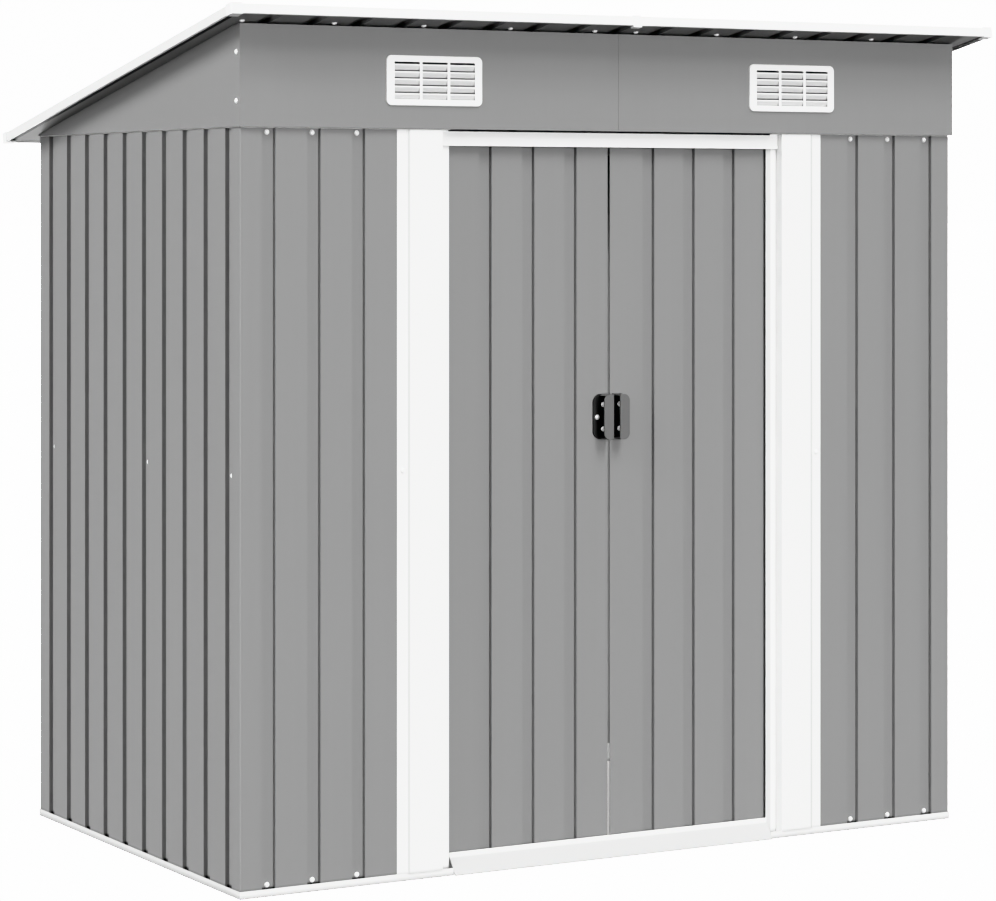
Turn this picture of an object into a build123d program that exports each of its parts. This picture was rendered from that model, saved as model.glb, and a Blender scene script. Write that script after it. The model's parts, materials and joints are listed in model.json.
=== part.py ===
"""Metal storage shed with a pent roof, ribbed walls and a pair of sliding doors.

Millimetres, +Z up, the front towards -Y. The shed is drawn about the middle of its walls and is
moved at the end so that the middle of its plan box stands on the origin.
"""
import math
import os

from build123d import *

# Sheet, fits and clearances
sheet = 0.8
frame_sheet = 1.2
bend_radius = 1.5
bend_steps = 3
fit_gap = 0.2
seam_gap = 0.5
moving_gap = 6.0

# Turns and directions
quarter_turn = 90.0
half_turn = 180.0
rightward = (1, 0, 0)
backward = (0, 1, 0)
upward = (0, 0, 1)

# Walls
wall_width = 1794.0
wall_depth = 1073.5
wall_top = 1566.0
corner_radius = 2.0
corner_steps = 3
rib_width = 29.5
rib_depth = 8.7
rib_flank = 1.0
rib_pitch = 104.5
side_rib_front = 54.9
side_rib_rear = 72.0
side_lap_share = 0.44
wing_rib_margin = 64.4
wing_rib_end = 89.5
rear_rib_margin = 61.0
rear_lap_share = 0.25

# Base rails
rail_lip_height = 16.5
rail_back_height = 45.0
mitre_reach = 60.0

# Door opening, jambs and sill
opening_width = 806.0
jamb_strip = 27.4
jamb_face = 80.1
jamb_flange = 26.5
jamb_proud = 4.5
jamb_step_run = 6.5
jamb_strip_depth = 17.4
jamb_hem = 2.4
panel_tuck = 38.0
sill_toe = 4.0
sill_slope_depth = 16.5
sill_slope_top = 37.0
sill_height = 45.5
sill_lip_depth = 3.6
sill_proud = 6.0

# Top rails and door tracks
header_height = 33.0
header_slit = 4.0
header_slit_end = 6.0
ledge_setback = 1.5
upper_track_height = 17.0
upper_track_width = 23.0
upper_track_slot = 10.0
upper_track_end = 14.0
lower_track_width = 30.0
lower_track_height = 20.0

# Inside rails half way up the walls
middle_rail_level = 856.0
middle_rail_height = 40.0
middle_rail_depth = 15.0
middle_rail_end = 32.0

# Fascia, gables and vents
fascia_proud = 8.5
fascia_roof_gap = 3.7
fascia_flange = 20.0
fascia_return = 41.0
gable_flange = 20.0
gable_proud = 3.7
fascia_height = 211.5
gable_rear_height = 3.5
vent_offset = 453.2
vent_drop = 6.6
vent_width = 228.0
vent_height = 104.6
vent_radius = 12.0
vent_plate = 4.0
vent_edge_radius = 2.0
vent_side_border = 18.4
vent_end_border = 13.4
vent_hole_border = 12.0
vent_columns = 3
vent_rows = 5
vent_mullion = 6.6
vent_first_gap = 4.0
vent_gap = 2.0
blade_inset = 0.6
blade_nose = 3.0
blade_thickness = 1.6
blade_depth = 1.8

# Roof
front_overhang = 86.0
rear_overhang = 80.5
side_overhang = 59.0
roof_rib_left = 94.0
roof_rib_right = 119.4
roof_lap_share = 0.5
trim_height = 21.0
trim_drop = 2.1
trim_slot = 14.0
trim_lower_lip = 5.0
trim_upper_lip = 18.0
cap_sheet = 1.2
cap_arm = 26.0
cap_radius = 4.0
joiner_width = 20.0
joiner_drop = 2.5
joiner_depth = 14.0
roof_beam_height = 25.0
roof_beam_width = 40.0

# Doors
door_gap = 5.8
door_gap_offset = 2.6
door_front_gap = 7.2
door_cover = 37.0
door_edge_return = 16.0
door_hem = 1.6
door_rib_first = 96.3
door_rib_last = 130.0
door_bottom = 14.0
door_above_header = 7.0
brace_height = 38.0
brace_depth = 11.0
brace_end_gap = 14.0
slide_length = 40.0
slide_height = 9.0
slide_side_gap = 1.3
slide_inset = 70.0
stem_thickness = 3.0
stem_end_gap = 0.8
guide_foot_gap = 2.0

# Handles
handle_level = 951.0
handle_height = 98.0
plate_width = 38.3
plate_thickness = 3.0
plate_radius = 19.0
plate_edge_radius = 1.0
grip_inset = 5.1
grip_width = 24.0
grip_proud = 31.7
grip_sheet = 3.5
grip_radius = 14.0
grip_edge_radius = 1.2

# Places that follow from the sizes above
half_width = wall_width / 2
half_depth = wall_depth / 2
half_opening = opening_width / 2
half_rib = rib_width / 2
sheet_back = rib_depth + sheet + fit_gap
wall_back = sheet_back + sheet + fit_gap
rail_proud = frame_sheet + fit_gap
wall_bottom = frame_sheet + fit_gap
jamb_outer = half_opening + jamb_strip + jamb_face + jamb_flange
panel_edge = jamb_outer - panel_tuck
ledge_top = wall_top + fit_gap + frame_sheet
header_bottom = ledge_top - header_height - frame_sheet
gable_outer = half_width + gable_proud
fascia_face = -half_depth - fascia_proud
fascia_bottom = ledge_top + fit_gap
roof_front_level = fascia_bottom + fascia_height
roof_rear_level = fascia_bottom + gable_rear_height
roof_angle = math.degrees(math.atan2(roof_front_level - roof_rear_level, wall_depth))
roof_fall = (roof_front_level - roof_rear_level) / wall_depth
roof_cos = math.cos(math.radians(roof_angle))
roof_front = -front_overhang / roof_cos
roof_rear = (wall_depth + rear_overhang) / roof_cos
roof_half = half_width + side_overhang
trim_low = -(frame_sheet + fit_gap + trim_drop)
trim_top = trim_low + trim_height
roof_edge = roof_half - trim_slot
roof_upstand = trim_top - frame_sheet - fit_gap
door_setback = jamb_strip_depth + jamb_hem + door_front_gap
door_inner = door_gap / 2
door_outer = half_opening + door_cover
door_width = door_outer - door_inner
door_face = -half_depth + door_setback
door_back = door_face + sheet_back
door_top = header_bottom + door_above_header
stem_drop = brace_height - frame_sheet - stem_end_gap
track_middle = door_back + frame_sheet + fit_gap + stem_thickness / 2
track_low = door_top + moving_gap
roof_place = Pos(0, -half_depth, roof_front_level) * Rot(-roof_angle, 0, 0)


def roof_level(y):
    """Height of the roof sheet's underside above a point of the plan."""
    return roof_front_level - roof_fall * (y + half_depth)


def rib_places(first, last):
    """Middles of evenly spaced ribs from first to last, as near to the rib pitch as they come."""
    gaps = max(round((last - first) / rib_pitch), 1)
    return [first + (last - first) * i / gaps for i in range(gaps + 1)]


def shifted(points, distance):
    """Copy of a polyline moved sideways to its left, with mitred bends."""
    normals = []
    for (ax, ay), (bx, by) in zip(points, points[1:]):
        length = math.hypot(bx - ax, by - ay)
        normals.append(((ay - by) / length, (bx - ax) / length))
    moved = []
    for i, (x, y) in enumerate(points):
        before = normals[max(i - 1, 0)]
        after = normals[min(i, len(normals) - 1)]
        scale = distance / (1 + before[0] * after[0] + before[1] * after[1])
        moved.append((x + (before[0] + after[0]) * scale, y + (before[1] + after[1]) * scale))
    return moved


def rounded(points, radius):
    """Copy of a polyline with arcs at its bends."""
    made = [points[0]]
    for (ax, ay), (bx, by), (cx, cy) in zip(points, points[1:], points[2:]):
        heading = math.atan2(by - ay, bx - ax)
        turn = math.remainder(math.atan2(cy - by, cx - bx) - heading, math.tau)
        reach = radius * math.tan(abs(turn) / 2)
        side = math.copysign(radius, turn)
        centre_x = bx - reach * math.cos(heading) - side * math.sin(heading)
        centre_y = by - reach * math.sin(heading) + side * math.cos(heading)
        steps = max(round(bend_steps * abs(turn) / math.radians(quarter_turn)), 1)
        for i in range(steps + 1):
            angle = heading + turn * i / steps
            made.append((centre_x + side * math.sin(angle), centre_y - side * math.cos(angle)))
    return made + [points[-1]]


def bent_sheet(points, thickness):
    """Section of a folded sheet; it thickens to the left of the polyline's run."""
    outline = list(points) + shifted(points, thickness)[::-1]
    return make_face(Polyline(*outline, close=True))


def folded_sheet(points, thickness):
    """Section of a folded sheet with rounded bends."""
    return bent_sheet(rounded(points, bend_radius), thickness)


def rib_points(middle):
    """One recessed rib as (run, depth) points."""
    outer = half_rib + rib_flank / 2
    inner = half_rib - rib_flank / 2
    return [(middle - outer, 0), (middle - inner, rib_depth),
            (middle + inner, rib_depth), (middle + outer, 0)]


def ribbed_run(start, stop, middles):
    """Ribbed sheet line from start to stop as (run, depth) points."""
    points = [(start, 0)]
    for middle in middles:
        points += rib_points(middle)
    return points + [(stop, 0)]


def lap_over(middle):
    """End of the sheet that lies outside in a lapped rib."""
    return rib_points(middle)[:-1]


def lap_under(middle):
    """Start of the sheet that lies inside in a lapped rib."""
    tongue, rise, crest = rib_points(middle)[1:]
    behind = rib_depth + sheet + fit_gap
    return [(tongue[0] + rib_flank, behind), (rise[0], behind), crest]


def front_corner():
    """Rounded front left corner of the walls in plan, from the front to the side."""
    centre_x = half_width - corner_radius
    centre_y = half_depth - corner_radius
    points = []
    for i in range(corner_steps + 1):
        turn = math.radians(quarter_turn * i / corner_steps)
        points.append((-centre_x - corner_radius * math.sin(turn),
                       -centre_y - corner_radius * math.cos(turn)))
    return points


def rear_corner():
    """Rounded rear left corner of the walls in plan, from the side to the rear."""
    return [(x, -y) for x, y in reversed(front_corner())]


def standing_sheet(points, low, high, thickness):
    """Sheet that stands on its plan line."""
    return extrude(Pos(0, 0, low) * bent_sheet(points, thickness), high - low, dir=upward)


def along_x(section, start, stop, y=0, z=0):
    """Bar with a (depth, height) section that runs along X from start to stop."""
    return extrude(Pos(start, y, z) * (Plane.YZ * section), stop - start, dir=rightward)


def outline_face(points):
    """Flat face inside a closed outline."""
    return make_face(Polyline(*points, close=True))


def perimeter_bar(profile, width, depth, start, stop):
    """Folded bar along the front of a width by depth plan, mitred at the plan's corners."""
    bar = along_x(profile, start, stop, -depth / 2)
    side = width / 2 - fit_gap / 2
    front = -depth / 2
    plan = [(-side - mitre_reach, front - mitre_reach), (side + mitre_reach, front - mitre_reach),
            (side - mitre_reach, front + mitre_reach), (-side + mitre_reach, front + mitre_reach)]
    return (bar & extrude(outline_face(plan), roof_front_level, both=True)).solid()


def mirrored(part):
    """The same piece for the other side of the shed."""
    return mirror(part, about=Plane.YZ)


def plan_left(part):
    """Turn a front bar to the left side."""
    return Rot(0, 0, -quarter_turn) * part


def plan_right(part):
    """Turn a front bar to the right side."""
    return Rot(0, 0, quarter_turn) * part


def plan_rear(part):
    """Turn a front bar to the rear."""
    return Rot(0, 0, half_turn) * part


def front_left_wall():
    """Wing beside the door, folded round the corner and on to the lap in the side."""
    ribs = rib_places(-half_width + wing_rib_margin, -jamb_outer - wing_rib_end)
    wing = ribbed_run(-half_width + corner_radius, -panel_edge, ribs)[1:]
    side = side_ribs()
    lap = lap_place(side, side_lap_share)
    line = [(x, -half_depth + d) for x, d in reversed(wing)]
    line += front_corner()
    for middle in side[:lap]:
        line += [(-half_width + d, y) for y, d in rib_points(middle)]
    line += [(-half_width + d, y) for y, d in lap_over(side[lap])]
    return standing_sheet(line, wall_bottom, wall_top, -sheet).solid()


def side_ribs():
    """Middles of the ribs along a side wall."""
    return rib_places(-half_depth + side_rib_front, half_depth - side_rib_rear)


def rear_ribs():
    """Middles of the ribs along the rear wall."""
    return rib_places(-half_width + rear_rib_margin, half_width - rear_rib_margin)


def lap_place(ribs, share):
    """Which rib two sheets share, given how far along the wall it lies."""
    return round(share * (len(ribs) - 1))


def rear_left_wall():
    """Rear part of the side, folded round the corner and on to the lap in the rear."""
    side = side_ribs()
    rear = rear_ribs()
    side_lap = lap_place(side, side_lap_share)
    rear_lap = lap_place(rear, rear_lap_share)
    line = [(-half_width + d, y) for y, d in lap_under(side[side_lap])]
    for middle in side[side_lap + 1:]:
        line += [(-half_width + d, y) for y, d in rib_points(middle)]
    line += rear_corner()
    for middle in rear[:rear_lap]:
        line += [(x, half_depth - d) for x, d in rib_points(middle)]
    line += [(x, half_depth - d) for x, d in lap_over(rear[rear_lap])]
    return standing_sheet(line, wall_bottom, wall_top, -sheet).solid()


def rear_middle_wall():
    """Flat ribbed sheet between the two rear corner sheets."""
    rear = rear_ribs()
    lap = lap_place(rear, rear_lap_share)
    tongue = lap_under(rear[lap])
    line = list(tongue)
    for middle in rear[lap + 1:-lap - 1]:
        line += rib_points(middle)
    line += [(-run, depth) for run, depth in reversed(tongue)]
    plan = [(x, half_depth - d) for x, d in line]
    return standing_sheet(plan, wall_bottom, wall_top, -sheet).solid()


def base_profile(back_height):
    """Channel that holds the foot of a wall."""
    channel = [(-rail_proud, rail_lip_height), (-rail_proud, 0),
               (wall_back + frame_sheet, 0), (wall_back + frame_sheet, back_height)]
    return folded_sheet(channel, frame_sheet)


def base_rail(width, depth):
    """Base channel along a whole side."""
    reach = width / 2 + mitre_reach
    return perimeter_bar(base_profile(rail_back_height), width, depth, -reach, reach)


def front_base_rail():
    """Base channel of the wing left of the door, open at the back below the jamb."""
    reach = half_width + mitre_reach
    under_jamb = [(-rail_proud, rail_lip_height), (-rail_proud, 0), (wall_back, 0)]
    jamb_end = perimeter_bar(folded_sheet(under_jamb, frame_sheet), wall_width, wall_depth,
                             -panel_edge, -half_opening)
    wing = perimeter_bar(base_profile(rail_back_height), wall_width, wall_depth, -reach, -panel_edge)
    return (wing + jamb_end).solid()


def door_sill():
    """Ramped sill between the jambs."""
    back = sill_slope_depth + sill_lip_depth
    toe = -rail_proud - sill_proud
    section = [(toe, 0), (toe, sill_toe), (sill_slope_depth, sill_slope_top),
               (sill_slope_depth, sill_height), (back, sill_height), (back, 0)]
    half = half_opening - fit_gap
    return along_x(folded_sheet(section, -frame_sheet), -half, half, -half_depth)


def lower_door_track():
    """Channel on the ground in which the feet of the doors run."""
    front = sill_slope_depth + sill_lip_depth + fit_gap
    back = front + lower_track_width
    section = [(front, lower_track_height), (front, 0), (back, 0), (back, lower_track_height)]
    half = half_width - wall_back - frame_sheet - fit_gap
    return along_x(bent_sheet(section, frame_sheet), -half, half, -half_depth)


def door_jamb():
    """Hat section that frames the left of the door opening, notched for the header and the rail."""
    flat = -half_depth - rail_proud
    proud = -half_depth - jamb_proud
    deep = -half_depth + jamb_strip_depth
    step = half_opening + jamb_strip + jamb_face
    plan = [(-jamb_outer, flat), (-step - jamb_step_run, flat), (-step, proud),
            (-half_opening - jamb_strip, proud), (-half_opening - jamb_strip, deep),
            (-half_opening, deep), (-half_opening, deep + jamb_hem)]
    jamb = standing_sheet(rounded(plan, bend_radius), wall_bottom, wall_top, frame_sheet)
    foot = Box(wall_width, 2 * jamb_proud, rail_lip_height + fit_gap,
               align=(Align.CENTER, Align.MAX, Align.MIN))
    jamb -= Pos(0, -half_depth, 0) * foot
    notch = Box(jamb_strip + jamb_face, jamb_strip_depth + jamb_hem, header_height,
                align=(Align.MAX, Align.MIN, Align.MIN))
    place = Pos(-half_opening + frame_sheet, -half_depth + wall_back - fit_gap, header_bottom - fit_gap)
    return (jamb - place * notch).solid()


def top_profile(low):
    """Angle along the top of a wall: a leg behind the sheet and a ledge over its edge."""
    back = wall_back + frame_sheet
    return folded_sheet([(back, low), (back, ledge_top), (ledge_setback, ledge_top)], frame_sheet)


def top_rail(width, depth):
    """Top rail along a whole side."""
    reach = width / 2 + mitre_reach
    return perimeter_bar(top_profile(header_bottom), width, depth, -reach, reach)


def front_top_rail():
    """Top rail of the front; over the opening it is the header, cut down to clear the fascia."""
    wide = opening_width + 2 * header_slit_end
    slit = Box(wide, half_depth, header_slit, align=(Align.CENTER, Align.MIN, Align.MAX))
    return (top_rail(wall_width, wall_depth) - Pos(0, -half_depth, fascia_bottom) * slit).solid()


def upper_door_track():
    """Slotted channel behind the header from which the doors hang, with its fixing flange."""
    middle = track_middle + half_depth
    front = middle - upper_track_width / 2
    back = middle + upper_track_width / 2
    slot = upper_track_slot / 2
    top = track_low + upper_track_height
    flange = wall_back + frame_sheet + fit_gap
    channel = [(middle - slot, track_low), (front, track_low), (front, top),
               (back, top), (back, track_low), (middle + slot, track_low)]
    hanger = [(flange, top - upper_track_height), (flange, top), (front + frame_sheet, top)]
    half = half_width - wall_back - frame_sheet - upper_track_end
    section = bent_sheet(channel, -frame_sheet) + bent_sheet(hanger, -frame_sheet)
    return along_x(section, -half, half, -half_depth).solid()


def middle_rail(width, depth, end):
    """Channel inside a wall, half way up."""
    low = middle_rail_level - middle_rail_height / 2
    high = low + middle_rail_height
    back = wall_back + middle_rail_depth
    section = [(back, low), (wall_back, low), (wall_back, high), (back, high)]
    half = width / 2 - end
    return along_x(bent_sheet(section, -frame_sheet), -half, half, -depth / 2)


def front_fascia():
    """Left half of the panel above the door, folded over the roof, rail and gable, with a vent hole."""
    face = fascia_face
    inner = face + fascia_flange
    section = [(inner, fascia_bottom), (face, fascia_bottom), (face, roof_level(face) - fascia_roof_gap),
               (inner, roof_level(inner) - fascia_roof_gap)]
    outer = gable_outer + sheet + fit_gap
    panel = along_x(bent_sheet(section, -sheet), -outer, -seam_gap / 2)
    end_y = face + fascia_return
    side = [(face, fascia_bottom), (end_y, fascia_bottom), (end_y, roof_level(end_y) - fascia_roof_gap),
            (face, roof_level(face) - fascia_roof_gap)]
    panel += along_x(outline_face(side), -outer, -outer + sheet)
    hole = RectangleRounded(vent_width - vent_hole_border, vent_height - vent_hole_border, vent_radius)
    cutter = vent_place() * extrude(Plane.XZ * hole, fascia_flange / 2, both=True)
    return (panel - cutter).solid()


def vent_place():
    """Middle of the left vent on the face of the fascia."""
    middle = (fascia_bottom + roof_level(fascia_face)) / 2
    return Pos(-vent_offset, fascia_face, middle - vent_drop)


def fascia_vent():
    """Louvred vent plate on the left half of the fascia; its blades fall inwards from a straight nose."""
    vent = extrude(Plane.XZ * RectangleRounded(vent_width, vent_height, vent_radius), vent_plate)
    vent = fillet(vent.edges().group_by(Axis.Y)[0], vent_edge_radius)
    louvre_width = vent_width - 2 * vent_side_border
    louvre_height = vent_height - 2 * vent_end_border
    slot_width = (louvre_width - vent_mullion * (vent_columns - 1)) / vent_columns
    window = extrude(Plane.XZ * Rectangle(slot_width, louvre_height), vent_plate)
    for column in range(vent_columns):
        x = (column - (vent_columns - 1) / 2) * (slot_width + vent_mullion)
        vent -= Pos(x, 0, 0) * window
    nose = blade_inset - vent_plate
    first = louvre_height / 2 - vent_first_gap + vent_gap
    pitch = (first + louvre_height / 2) / vent_rows
    section = [(nose, -vent_gap), (nose, -vent_gap - blade_nose), (blade_depth, -pitch),
               (blade_depth + blade_thickness, -pitch), (nose + blade_thickness, -vent_gap)]
    half = (louvre_width + vent_mullion) / 2
    for row in range(vent_rows):
        vent += along_x(outline_face(section), -half, half, 0, first - row * pitch)
    return (vent_place() * vent).solid()


def gable():
    """Left gable sheet with flanges on the top rail and under the roof."""
    front = fascia_face + fascia_flange + fit_gap
    rear = half_depth - fit_gap
    top_front = roof_level(front) - fit_gap
    top_rear = roof_level(rear) - fit_gap
    low_front, low_rear = (front, fascia_bottom), (rear, fascia_bottom)
    high_front, high_rear = (front, top_front), (rear, top_rear)
    made = along_x(outline_face([low_front, low_rear, high_rear, high_front]),
                   -gable_outer, -gable_outer + sheet)
    for start, stop, rise in ((low_front, low_rear, sheet), (high_front, high_rear, -sheet)):
        edge = [start, stop, (stop[0], stop[1] + rise), (start[0], start[1] + rise)]
        made += along_x(outline_face(edge), -gable_outer, -half_width + gable_flange)
    return made.solid()


def roof_ribs():
    """Middles of the ribs across both roof sheets."""
    return rib_places(-roof_edge + roof_rib_left, roof_edge - roof_rib_right)


def roof_panel(line):
    """Roof sheet with its ribs along the fall."""
    start = roof_front + trim_slot
    stop = roof_rear - trim_slot
    section = bent_sheet(line, sheet)
    panel = extrude(Pos(0, start, 0) * (Plane.XZ * section), stop - start, dir=backward)
    return roof_place * panel.solid()


def left_roof_panel():
    """Left roof sheet, from its upturned edge to the rib it shares with the right one."""
    ribs = roof_ribs()
    lap = lap_place(ribs, roof_lap_share)
    line = [(-roof_edge, roof_upstand), (-roof_edge, 0)]
    for middle in ribs[:lap]:
        line += rib_points(middle)
    return roof_panel(line + lap_over(ribs[lap]))


def right_roof_panel():
    """Right roof sheet, from the shared rib to its upturned edge."""
    ribs = roof_ribs()
    lap = lap_place(ribs, roof_lap_share)
    line = lap_under(ribs[lap])
    for middle in ribs[lap + 1:]:
        line += rib_points(middle)
    return roof_panel(line + [(roof_edge, 0), (roof_edge, roof_upstand)])


def trim_profile():
    """Channel round the edge of the roof, with a hem that rests on the ribs."""
    hem = rib_depth + 2 * sheet + 2 * fit_gap
    line = [(trim_lower_lip, trim_low), (0, trim_low), (0, trim_top),
            (trim_upper_lip, trim_top), (trim_upper_lip, hem)]
    return folded_sheet(line, -frame_sheet)


def roof_trim(width, depth, start, stop):
    """Edge trim along the front of the roof's plan, mitred at its corners."""
    return perimeter_bar(trim_profile(), width, depth, start, stop)


def on_roof(part):
    """Put a piece drawn about the middle of the roof's plan on to the sloping roof."""
    return roof_place * Pos(0, (roof_front + roof_rear) / 2, 0) * part


def corner_cap(length):
    """Cap over the front left corner of the roof's edge trims."""
    wall = cap_sheet + fit_gap
    height = trim_height + 2 * wall
    seat = (Align.MIN, Align.MIN, Align.MIN)
    block = Box(cap_arm, cap_arm, height, align=seat)
    corner = block.edges().filter_by(Axis.Z).sort_by(lambda edge: edge.center().X + edge.center().Y)[0]
    block = fillet(corner, cap_radius)
    hollow = Box(cap_arm, cap_arm, trim_height + 2 * fit_gap, align=seat)
    cap = block - Pos(cap_sheet, cap_sheet, cap_sheet) * hollow
    return Pos(-roof_half - wall, -length / 2 - wall, trim_low - wall) * cap


def trim_joiner(length):
    """Strap over the joint in the front trim."""
    wall = cap_sheet + fit_gap
    drop = wall + joiner_drop
    seat = (Align.CENTER, Align.MIN, Align.MIN)
    strap = Box(joiner_width, joiner_depth, trim_height + wall + drop, align=seat)
    inner = Box(joiner_width, joiner_depth, trim_height + 2 * fit_gap, align=seat)
    strap -= Pos(0, cap_sheet, drop - fit_gap) * inner
    return Pos(0, -length / 2 - wall, trim_low - drop) * strap


def roof_fittings():
    """Corner caps and front joiner of the roof's edge trim."""
    length = roof_rear - roof_front
    cap = corner_cap(length)
    left_rear = mirror(cap, about=Plane.XZ)
    pieces = [cap, left_rear, mirrored(cap), mirrored(left_rear), trim_joiner(length)]
    return Compound([on_roof(piece).solid() for piece in pieces])


def roof_beam():
    """Channel under the middle of the roof, from gable to gable."""
    half = gable_outer - sheet - fit_gap
    wide = roof_beam_width / 2
    section = [(-wide, -fit_gap - roof_beam_height), (-wide, -fit_gap),
               (wide, -fit_gap), (wide, -fit_gap - roof_beam_height)]
    bar = along_x(bent_sheet(section, -frame_sheet), -half, half)
    return roof_place * Pos(0, half_depth / roof_cos, -sheet - fit_gap) * bar


def door_ribs():
    """Middles of the ribs of the left door."""
    return rib_places(-door_outer + door_rib_last, -door_inner - door_rib_first)


def door_panel(edge):
    """Left door's ribbed sheet, folded at the jamb and hemmed at its meeting edge."""
    line = [(-door_outer, door_edge_return)]
    line += ribbed_run(-door_outer, -edge, door_ribs())
    line += [(-edge, door_hem)]
    plan = [(x, door_face + d) for x, d in line]
    return standing_sheet(plan, door_bottom, door_top, sheet).solid()


def door_braces():
    """Angles across the back of the left door: foot, middle and head."""
    back = sheet_back + frame_sheet + brace_depth
    half = door_width / 2 - sheet - brace_end_gap
    middle = -(door_outer + door_inner) / 2
    web = [(sheet_back, 0), (sheet_back, brace_height)]
    ledge_low = bent_sheet([(back, 0)] + web, -frame_sheet)
    ledge_high = bent_sheet(web + [(back, brace_height)], -frame_sheet)
    bars = [(door_bottom + fit_gap, ledge_high), (handle_level - brace_height / 2, ledge_low),
            (door_top - brace_height - fit_gap, ledge_low)]
    made = []
    for level, section in bars:
        made.append(along_x(section, middle - half, middle + half, door_face, level).solid())
    return Compound(made)


def door_slides():
    """Hangers in the upper track and feet in the lower track of the left door."""
    block_half = upper_track_width / 2 - frame_sheet - slide_side_gap
    block_low = track_low + frame_sheet + fit_gap
    stem_low = door_top - stem_drop
    stem_half = stem_thickness / 2
    block_high = block_low + slide_height
    hanger = [(-stem_half, stem_low), (stem_half, stem_low), (stem_half, block_low),
              (block_half, block_low), (block_half, block_high), (-block_half, block_high),
              (-block_half, block_low), (-stem_half, block_low)]
    foot_low = frame_sheet + guide_foot_gap
    foot_high = door_bottom + stem_drop
    foot = [(-stem_half, foot_low), (stem_half, foot_low),
            (stem_half, foot_high), (-stem_half, foot_high)]
    made = []
    for run in (-door_outer + slide_inset, -door_inner - slide_inset - slide_length):
        for section in (hanger, foot):
            made.append(along_x(outline_face(section), run, run + slide_length, track_middle).solid())
    return Compound(made)


def handle_plate():
    """Base plate of the left door's pull, rounded away from the other door."""
    plate = Box(plate_width, plate_thickness, handle_height, align=(Align.MAX, Align.MAX, Align.CENTER))
    corners = plate.edges().filter_by(Axis.Y).sort_by(Axis.X)[:2]
    plate = fillet(corners, plate_radius)
    plate = fillet(plate.edges().group_by(Axis.Y)[0], plate_edge_radius)
    return Pos(-door_inner - door_gap_offset, door_face, handle_level) * plate


def handle_grip():
    """Bow of the left door's pull: a flat grip on two end walls."""
    outer = grip_proud - plate_thickness
    half = handle_height / 2
    line = [(0, -half), (-outer, -half), (-outer, half), (0, half)]
    bow = along_x(bent_sheet(line, -grip_sheet), -grip_width, 0)
    ends = bow.edges().filter_by(Axis.Y).group_by(Axis.X)[0].sort_by(Axis.Z)
    bow = fillet([ends[0], ends[-1]], grip_radius)
    bow = fillet(bow.edges().group_by(Axis.Y)[0], grip_edge_radius)
    return Pos(-door_inner - grip_inset, door_face - plate_thickness, handle_level) * bow


def pieces():
    """All pieces by name."""
    made = {}
    made["front_left_wall"] = front_left_wall()
    made["rear_left_wall"] = rear_left_wall()
    made["front_right_wall"] = mirrored(made["front_left_wall"])
    made["rear_right_wall"] = mirrored(made["rear_left_wall"])
    made["rear_middle_wall"] = rear_middle_wall()
    made["front_left_base_rail"] = front_base_rail()
    made["front_right_base_rail"] = mirrored(made["front_left_base_rail"])
    made["left_base_rail"] = plan_left(base_rail(wall_depth, wall_width))
    made["right_base_rail"] = plan_right(base_rail(wall_depth, wall_width))
    made["rear_base_rail"] = plan_rear(base_rail(wall_width, wall_depth))
    made["door_sill"] = door_sill()
    made["lower_door_track"] = lower_door_track()
    made["left_door_jamb"] = door_jamb()
    made["right_door_jamb"] = mirrored(made["left_door_jamb"])
    made["front_top_rail"] = front_top_rail()
    made["rear_top_rail"] = plan_rear(top_rail(wall_width, wall_depth))
    made["left_top_rail"] = plan_left(top_rail(wall_depth, wall_width))
    made["right_top_rail"] = plan_right(top_rail(wall_depth, wall_width))
    made["upper_door_track"] = upper_door_track()
    made["left_middle_rail"] = plan_left(middle_rail(wall_depth, wall_width, middle_rail_end))
    made["right_middle_rail"] = plan_right(middle_rail(wall_depth, wall_width, middle_rail_end))
    made["rear_middle_rail"] = plan_rear(middle_rail(wall_width, wall_depth, wall_back + frame_sheet))
    made["front_left_fascia"] = front_fascia()
    made["front_right_fascia"] = mirrored(made["front_left_fascia"])
    made["left_vent"] = fascia_vent()
    made["right_vent"] = mirrored(made["left_vent"])
    made["left_gable"] = gable()
    made["right_gable"] = mirrored(made["left_gable"])
    made["left_roof_panel"] = left_roof_panel()
    made["right_roof_panel"] = right_roof_panel()
    made["roof_beam"] = roof_beam()
    width = 2 * roof_half
    length = roof_rear - roof_front
    front_left_trim = roof_trim(width, length, -roof_half - mitre_reach, -fit_gap / 2)
    side_trim = roof_trim(length, width, -length / 2 - mitre_reach, length / 2 + mitre_reach)
    made["front_left_roof_trim"] = on_roof(front_left_trim)
    made["front_right_roof_trim"] = on_roof(mirrored(front_left_trim))
    made["rear_roof_trim"] = on_roof(plan_rear(roof_trim(width, length, -width, width)))
    made["left_roof_trim"] = on_roof(plan_left(side_trim))
    made["right_roof_trim"] = on_roof(plan_right(side_trim))
    made["roof_trim_caps"] = roof_fittings()
    made["left_door_panel"] = door_panel(door_inner + door_gap_offset)
    made["right_door_panel"] = mirrored(door_panel(door_inner - door_gap_offset))
    doors = {"braces": door_braces, "slides": door_slides,
             "handle_plate": handle_plate, "handle_grip": handle_grip}
    for name, build in doors.items():
        piece = build()
        made["left_door_" + name] = piece
        made["right_door_" + name] = mirrored(piece)
    return made


def main():
    """Build every piece, centre the plan on the origin and write the files."""
    made = pieces()
    boxes = [piece.bounding_box() for piece in made.values()]
    middle_y = (min(box.min.Y for box in boxes) + max(box.max.Y for box in boxes)) / 2
    os.makedirs("parts", exist_ok=True)
    for name, piece in made.items():
        export_step(Pos(0, -middle_y, 0) * piece, os.path.join("parts", name + ".step"))
    print(len(made), "pieces, shifted", -middle_y)


if __name__ == "__main__":
    main()
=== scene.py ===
"""Looks of the metal storage shed: finishes, screws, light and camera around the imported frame."""

from __future__ import annotations

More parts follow.
